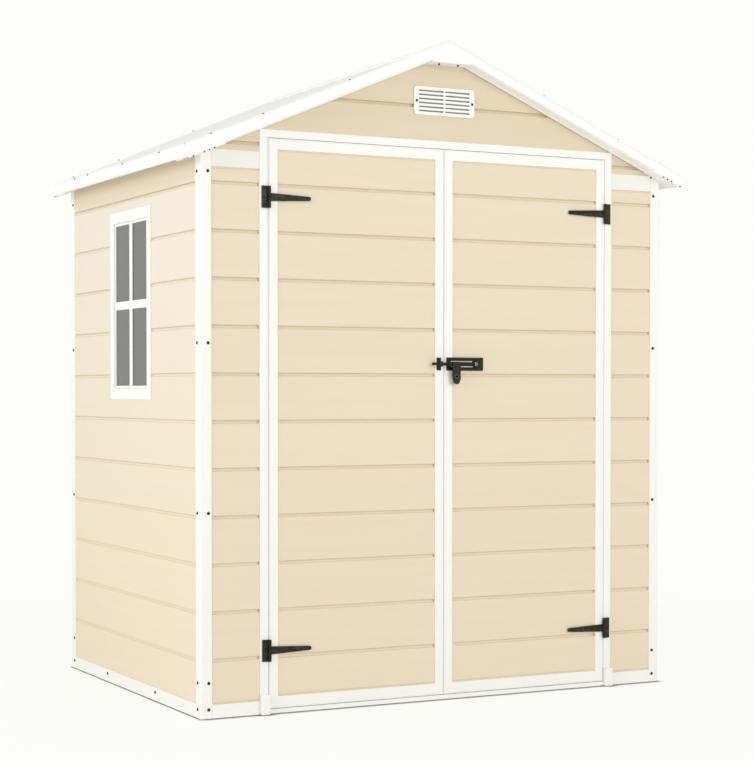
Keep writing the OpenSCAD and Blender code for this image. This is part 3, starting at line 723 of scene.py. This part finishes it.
def build_rake_beads():
    """Slim bead under each sloping roof edge, where it meets the boards of the end wall."""
    start, end = 62 * MM / SLOPE, 872 * MM / SLOPE
    deep, tall, under = 12 * MM, 5 * MM, 1.5 * MM
    size = Matrix.Diagonal((end - start, deep, tall, 1))
    bm = bmesh.new()
    for side, face in CORNERS:
        place = Matrix.Translation(((start + end) / 2, face * (WALL_FACE_Y + deep / 2), -under))
        bmesh.ops.create_cube(bm, size=1, matrix=slope_matrix(side) @ place @ size)
    soften(bm, 1 * MM, 2)
    # The beads take the white painted lighter, as light on them
    finished(bm, "rake_beads", "shed", LIT_EDGE_WHITE)


# ---- screws --------------------------------------------------------------------------------

def screw_head(radius, height):
    """Domed head with a small driver socket; it stands on z = 0."""
    bm = bmesh.new()
    bmesh.ops.create_circle(bm, cap_ends=True, segments=12, radius=radius)
    face = next(iter(bm.faces))
    # Steps inwards and upwards to the crown, then down into the socket, in shares of radius and height
    for inset, rise in ((0.12, 0.45), (0.28, 0.4), (0.25, 0.15), (0.05, -0.5)):
        bmesh.ops.inset_region(bm, faces=[face], thickness=inset * radius, depth=0, use_boundary=True)
        for v in face.verts:
            v.co.z += rise * height
    bmesh.ops.recalc_face_normals(bm, faces=bm.faces)
    if face.normal.z < 0:
        bmesh.ops.reverse_faces(bm, faces=bm.faces)
    mesh = bpy.data.meshes.new("screw_head")
    bm.to_mesh(mesh)
    bm.free()
    return mesh


def screws(name, body, places, radius, height):
    """Sets a screw head at each (place, direction it looks in)."""
    head = screw_head(radius, height)
    bm = bmesh.new()
    for place, look in places:
        look = Vector(look).normalized()
        before = set(bm.verts)
        bm.from_mesh(head)
        matrix = Matrix.Translation(place) @ look.to_track_quat("Z", "Y").to_matrix().to_4x4()
        bmesh.ops.transform(bm, matrix=matrix, verts=[v for v in bm.verts if v not in before])
    bpy.data.meshes.remove(head)
    finished(bm, name, body, BLACK, smooth=50)


def shoulder_point(side, turn, centre_s, centre_n, radius):
    """Point and direction on a rounded edge of the eave; turn 0 looks down the slope, 90 away from it."""
    a = math.radians(turn)
    to_shed = slope_matrix(side)
    look = to_shed.to_3x3() @ Vector((math.cos(a), 0, math.sin(a)))
    point = to_shed @ Vector((centre_s + radius * math.cos(a), 0, centre_n + radius * math.sin(a)))
    return point, look


# Places of the screws, in millimetres: heights on the posts, and distances along X or Y elsewhere
POST_HEIGHTS = (1812, 1246, 682, 118, 30)
RAIL_SCREWS = (-250, 254)
EAVE_SCREWS = (452, 300, -83, -452, -690)
SLOPE_SCREWS = (894, 707, 387)
CAP_END_SCREWS = (897, 915, 933, 972)
CAP_SIDE_SCREWS = (676, 702)
RIDGE_SCREWS = (-36, 40)
# On a hinge: up and down from its middle, and along the strap from its free end
PLATE_SCREWS, STRAP_SCREWS = (-27, 0, 27), (14, 62, 112)


def build_post_screws():
    """Screws up the corner posts and in the side base rails, and a small one at the top of two posts."""
    from_side, from_end, rail_height = 28 * MM, {-1: 28 * MM, 1: 34 * MM}, 30 * MM
    top_x, top_z = 881 * MM, 1880 * MM
    ends = [((side * (HALF_WIDTH - from_side), end * HALF_DEPTH, z * MM), (0, end, 0))
            for side, end in CORNERS for z in POST_HEIGHTS]
    screws("post_screws_ends", "shed", ends, 5.7 * MM, 2.6 * MM)
    sides = [((side * HALF_WIDTH, end * (HALF_DEPTH - from_end[end]), z * MM), (side, 0, 0))
             for side, end in CORNERS for z in POST_HEIGHTS]
    sides += [((side * HALF_WIDTH, y * MM, rail_height), (side, 0, 0))
              for side in (-1, 1) for y in RAIL_SCREWS]
    screws("post_screws_sides", "shed", sides, 6 * MM, 3.0 * MM)
    tops = [((top_x, end * HALF_DEPTH, top_z), (0, end, 0)) for end in (-1, 1)]
    screws("post_top_screws", "shed", tops, 3.6 * MM, 1.8 * MM)


def build_roof_screws():
    """Screws on the shoulder of the eaves and through the flat top of the sloping edges."""
    edge_y, cap_from = 715 * MM, 860
    places = []
    for side in (-1, 1):
        for y in EAVE_SCREWS:
            point, look = shoulder_point(side, 75, NOSE - TRIM_ROUND, TRIM_THICK - TRIM_ROUND, TRIM_ROUND)
            point.y = y * MM
            places.append((point, look))
    for side, end in CORNERS:
        to_shed = slope_matrix(side)
        for x in SLOPE_SCREWS:
            top = TRIM_THICK + (CAP_OVER if x > cap_from else 0)
            place = Vector(((x * MM - top * RISE) / SLOPE, end * edge_y, top))
            places.append((to_shed @ place, to_shed.to_3x3() @ Z))
    screws("roof_screws", "shed", places, 4.2 * MM, 3.0 * MM)


def build_cap_screws():
    """Small screws along the lower edges of the corner caps, and under the ridge cap's ends."""
    round_cap = TRIM_LOW_ROUND + CAP_OVER
    centre_n = round_cap - CAP_UNDER
    a = math.radians(-52)
    # The left caps' screws sit this much nearer the ridge
    nearer = {-1: 9, 1: 0}
    places = []
    for side, end in CORNERS:
        to_shed = slope_matrix(side)
        look = to_shed.to_3x3() @ Vector((0, end * math.cos(a), math.sin(a)))
        y = end * (-ROOF_END + CAP_OVER - round_cap + round_cap * math.cos(a))
        for x in CAP_END_SCREWS:
            s = ((x - nearer[side]) * MM + CAP_UNDER * RISE) / SLOPE
            places.append((to_shed @ Vector((s, y, centre_n + round_cap * math.sin(a))), look))
        for y in CAP_SIDE_SCREWS:
            point, side_look = shoulder_point(side, -40, NOSE - TRIM_LOW_ROUND, centre_n, round_cap)
            point.y = end * y * MM
            places.append((point, side_look))
    screws("cap_screws", "shed", places, 3.4 * MM, 1.4 * MM)
    ridge_y, ridge_z = 706 * MM, PEAK - 37 * MM
    places = [((x * MM, end * ridge_y, ridge_z), (0, 0, -1)) for end in (-1, 1) for x in RIDGE_SCREWS]
    screws("ridge_screws", "shed", places, 4.0 * MM, 5.5 * MM)


def build_vent_screws():
    """One screw at each end of the vent plate."""
    low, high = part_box("gable_vent")
    inset, height = 9.5 * MM, (low.z + high.z) / 2 - 1 * MM
    places = [((x, low.y, height), (0, -1, 0)) for x in (low.x + inset, high.x - inset)]
    screws("vent_screws", "shed", places, 4.8 * MM, 2.4 * MM)


# ---- black steel parts ---------------------------------------------------------------------

def build_hinges():
    """Plates and straps with their small countersunk screws."""
    leaf, half_height, from_edge, radius, proud = 3 * MM, 14 * MM, 9 * MM, 2.9 * MM, 0.8 * MM
    for hand, side in HANDS:
        softened("hinge_plates_" + hand, "shed", BLACK, 0.6 * MM)
        softened("hinge_straps_" + hand, hand + "_door", BLACK, 0.6 * MM)
        plates, straps = [], []
        plate_low, plate_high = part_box("hinge_plates_" + hand)
        strap_low, strap_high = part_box("hinge_straps_" + hand)
        outer = plate_low.x if side < 0 else plate_high.x
        inner = strap_high.x if side < 0 else strap_low.x
        for height in (strap_low.z + half_height, strap_high.z - half_height):
            for z in PLATE_SCREWS:
                plates.append(((outer - side * from_edge, FRONT - leaf, height + z * MM), (0, -1, 0)))
            for x in STRAP_SCREWS:
                straps.append(((inner + side * x * MM, FRONT - leaf, height), (0, -1, 0)))
        screws("hinge_plate_screws_" + hand, "shed", plates, radius, proud)
        screws("hinge_strap_screws_" + hand, hand + "_door", straps, radius, proud)


def build_lever():
    """Lever with its corners cut off at a slant."""
    low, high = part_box("latch_lever")
    middle = (low.x + high.x) / 2
    half, slant_from = 16.2 * MM, low.z + 18 * MM
    bm = copy_of("latch_lever")
    for side in (-1, 1):
        edge = middle + side * half
        for point, normal in (((edge, 0, 0), (side, 0, 0)),
                              ((edge, 0, slant_from), (side * 0.93, 0, -0.365))):
            bmesh.ops.edgeloop_fill(bm, edges=cut(bm, point, normal, True))
    bmesh.ops.recalc_face_normals(bm, faces=bm.faces)
    soften(bm, 0.6 * MM)
    finished(bm, "latch_lever_shaped", "lever", BLACK, ["latch_lever"])


def build_bolt():
    """Bolt with its plate, its keeper and the lever that turns and slides with the rod."""
    for node, body in (("latch_plate", "right_door"), ("latch_keeper", "left_door"), ("latch_rod", "bolt")):
        softened(node, body, BLACK, 0.5 * MM)
    build_lever()
    build_latch_rails()
    build_lever_eye()


def build_latch_rails():
    """Strips painted bright as highlights on the rails that the lever slides between, and the cone that it
    stops at, painted bright as a highlight too.
    """
    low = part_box("latch_plate")[0]
    rod_low, rod_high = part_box("latch_rod")
    axis_z = (rod_low.z + rod_high.z) / 2
    plate_thick, rail_proud, rail_tall = 2.5 * MM, 4 * MM, 3 * MM
    face = FRONT - plate_thick - rail_proud
    bm = bmesh.new()
    for side, start, end in ((1, 14, 101), (-1, 14, 104)):
        size = Matrix.Diagonal(((end - start) * MM, 0.6 * MM, rail_tall + 0.4 * MM, 1))
        z = axis_z + side * (RAIL_GAP + rail_tall / 2)
        place = Matrix.Translation((low.x + (start + end) / 2 * MM, face, z))
        bmesh.ops.create_cube(bm, size=1, matrix=place @ size)
    finished(bm, "latch_rails", "right_door", HIGHLIGHT_STEEL)
    bm = bmesh.new()
    # The lever stops short of this cone when the bolt is fully drawn
    place = Matrix.Translation((low.x + 112.4 * MM, (rod_low.y + rod_high.y) / 2, axis_z))
    bmesh.ops.create_cone(bm, cap_ends=True, segments=24, radius1=9.2 * MM, radius2=5.4 * MM,
                          depth=7.2 * MM, matrix=place @ Matrix.Rotation(-math.pi / 2, 4, "Y"))
    soften(bm, 0.4 * MM, 1)
    finished(bm, "latch_stop", "right_door", HIGHLIGHT_STEEL)


def build_lever_eye():
    """Round eye near the lever's end: a short closed tube with a rim painted lighter as a highlight."""
    low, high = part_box("latch_lever")
    rod_low, rod_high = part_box("latch_rod")
    height = (rod_low.z + rod_high.z) / 2 - 44 * MM
    back = FRONT - 1 * MM
    pieces = (("latch_eye_bottom", back, 7.0, 0, 0.4, BLACK),
              ("latch_eye_tube", back, 7.2, 5.5, (back - low.y) / MM - 3.1, BLACK),
              ("latch_eye_rim", low.y + 0.2 * MM, 7.2, 5.2, 0.8, HIGHLIGHT_BLACK))
    for name, y, radius, hole, thick, material in pieces:
        bm = bmesh.new()
        place = Matrix.Translation(((low.x + high.x) / 2, y, height))
        bmesh.ops.create_circle(bm, cap_ends=True, segments=32, radius=radius * MM,
                                matrix=place @ Matrix.Rotation(math.pi / 2, 4, "X"))
        if hole:
            inner = bm.faces[:]
            bmesh.ops.inset_region(bm, faces=inner, thickness=(radius - hole) * MM, depth=0,
                                   use_boundary=True)
            bmesh.ops.delete(bm, geom=inner, context="FACES")
        made = bmesh.ops.extrude_face_region(bm, geom=bm.faces[:])
        for v in made["geom"]:
            if isinstance(v, bmesh.types.BMVert):
                v.co.y -= thick * MM
        bmesh.ops.recalc_face_normals(bm, faces=bm.faces)
        finished(bm, name, "lever", material)


def glaze():
    """Gives the panes their finish."""
    for hand, _ in HANDS:
        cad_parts["window_glass_" + hand].material_slots[0].material = SHADED_PANE


for build in (build_walls, build_trim, build_window_seam_shades, build_door_lips, build_vent, build_floor,
              build_roof, build_rake_beads, build_post_screws, build_roof_screws, build_cap_screws,
              build_vent_screws, build_hinges, build_bolt, glaze):
    build()


# ---- floor, light and camera ---------------------------------------------------------------

STUDIO_WHITE = srgb(252, 253, 248)


def camera_rays(tree):
    """Rays that should see the plain white surroundings: camera, glossy and transmission rays."""
    path = add(tree, "ShaderNodeLightPath").outputs
    seen = maths(tree, "MAXIMUM", path["Is Camera Ray"], path["Is Glossy Ray"])
    return maths(tree, "MAXIMUM", seen, path["Is Transmission Ray"], True)


def build_world():
    """Even light from all round, which the camera and the panes see as plain white."""
    world = bpy.data.worlds.new("studio")
    bpy.context.scene.world = world
    world.use_nodes = True
    tree = world.node_tree
    background = tree.nodes["Background"]
    background.inputs["Color"].default_value = (1, 1, 1, 1)
    background.inputs["Strength"].default_value = 0.72
    seen = add(tree, "ShaderNodeBackground", {"Color": STUDIO_WHITE, "Strength": 1.0})
    keys = {0: camera_rays(tree), 1: background.outputs[0], 2: seen.outputs[0]}
    mixed = add(tree, "ShaderNodeMixShader", keys)
    tree.links.new(mixed.outputs[0], tree.nodes["World Output"].inputs["Surface"])


def build_ground():
    """Studio floor, seen as plain white but for the shed's shade close to it."""
    ground = bpy.data.meshes.new("ground")
    bm = bmesh.new()
    bmesh.ops.create_grid(bm, x_segments=1, y_segments=1, size=30)
    bm.to_mesh(ground)
    bm.free()
    material = bpy.data.materials.new("studio_floor")
    material.use_nodes = True
    tree = material.node_tree
    surface = tree.nodes["Principled BSDF"]
    surface.inputs["Base Color"].default_value = (0.92, 0.92, 0.905, 1)
    surface.inputs["Roughness"].default_value = 0.9
    surface.inputs["Specular IOR Level"].default_value = 0.0
    place = add(tree, "ShaderNodeTexCoord").outputs["Object"]
    away = add(tree, "ShaderNodeVectorMath", {0: place}, operation="LENGTH").outputs["Value"]
    # Thin contact shade where the shed meets the floor, broader in front of it than beside it
    depth = add(tree, "ShaderNodeSeparateXYZ", {0: place}).outputs["Y"]
    reach = spread(tree, depth, FRONT - 11 * MM, FRONT - 1 * MM, 36 * MM, 13 * MM)
    near = add(tree, "ShaderNodeAmbientOcclusion", {"Distance": reach}, samples=16).outputs["AO"]
    shade = maths(tree, "POWER", near, 4.5)
    tone = blend_colour(tree, shade, (0.0, 0.0, 0.0, 1.0), STUDIO_WHITE)
    glow = add(tree, "ShaderNodeEmission", {"Color": tone, "Strength": 1.0})
    # Close to the shed a little of its cast shadow shows through the plain white
    path = add(tree, "ShaderNodeLightPath").outputs
    share = maths(tree, "MULTIPLY", path["Is Camera Ray"], spread(tree, away, 1.6, 4.0, 0.92, 1.0))
    mixed = add(tree, "ShaderNodeMixShader", {0: share, 1: surface.outputs[0], 2: glow.outputs[0]})
    tree.links.new(mixed.outputs[0], tree.nodes["Material Output"].inputs["Surface"])
    ground.materials.append(material)
    floor = bpy.data.objects.new("ground", ground)
    bpy.context.scene.collection.objects.link(floor)


def area_lamp(name, place, aim, size, watts):
    """Square soft lamp that points at the place it is aimed at."""
    light = bpy.data.lights.new(name, "AREA")
    light.shape = "SQUARE"
    light.size = size
    light.energy = watts
    lamp = bpy.data.objects.new(name, light)
    lamp.location = place
    lamp.rotation_euler = (Vector(aim) - Vector(place)).to_track_quat("-Z", "Y").to_euler()
    bpy.context.scene.collection.objects.link(lamp)


def build_camera():
    """Long lens a little over a metre up, looking at the front and the left side."""
    data = bpy.data.cameras.new("camera")
    data.lens = 89.868
    data.shift_x = -0.00584
    data.shift_y = 0.07371
    data.clip_end = 200
    camera = bpy.data.objects.new("camera", data)
    camera.location = (-3.2562, -6.5085, 1.0862)
    camera.rotation_euler = (math.radians(88.6479), math.radians(-0.0097), math.radians(-27.2992))
    bpy.context.scene.collection.objects.link(camera)
    bpy.context.scene.camera = camera


build_world()
build_ground()
area_lamp("left_lamp", (-7.0, -1.7, 3.4), (-0.9, 0, 1.1), 4.0, 169)
area_lamp("front_lamp", (2.6, -7.4, 2.9), (0, -0.7, 1.1), 4.0, 126)
build_camera()
bpy.context.scene.view_settings.view_transform = "Standard"
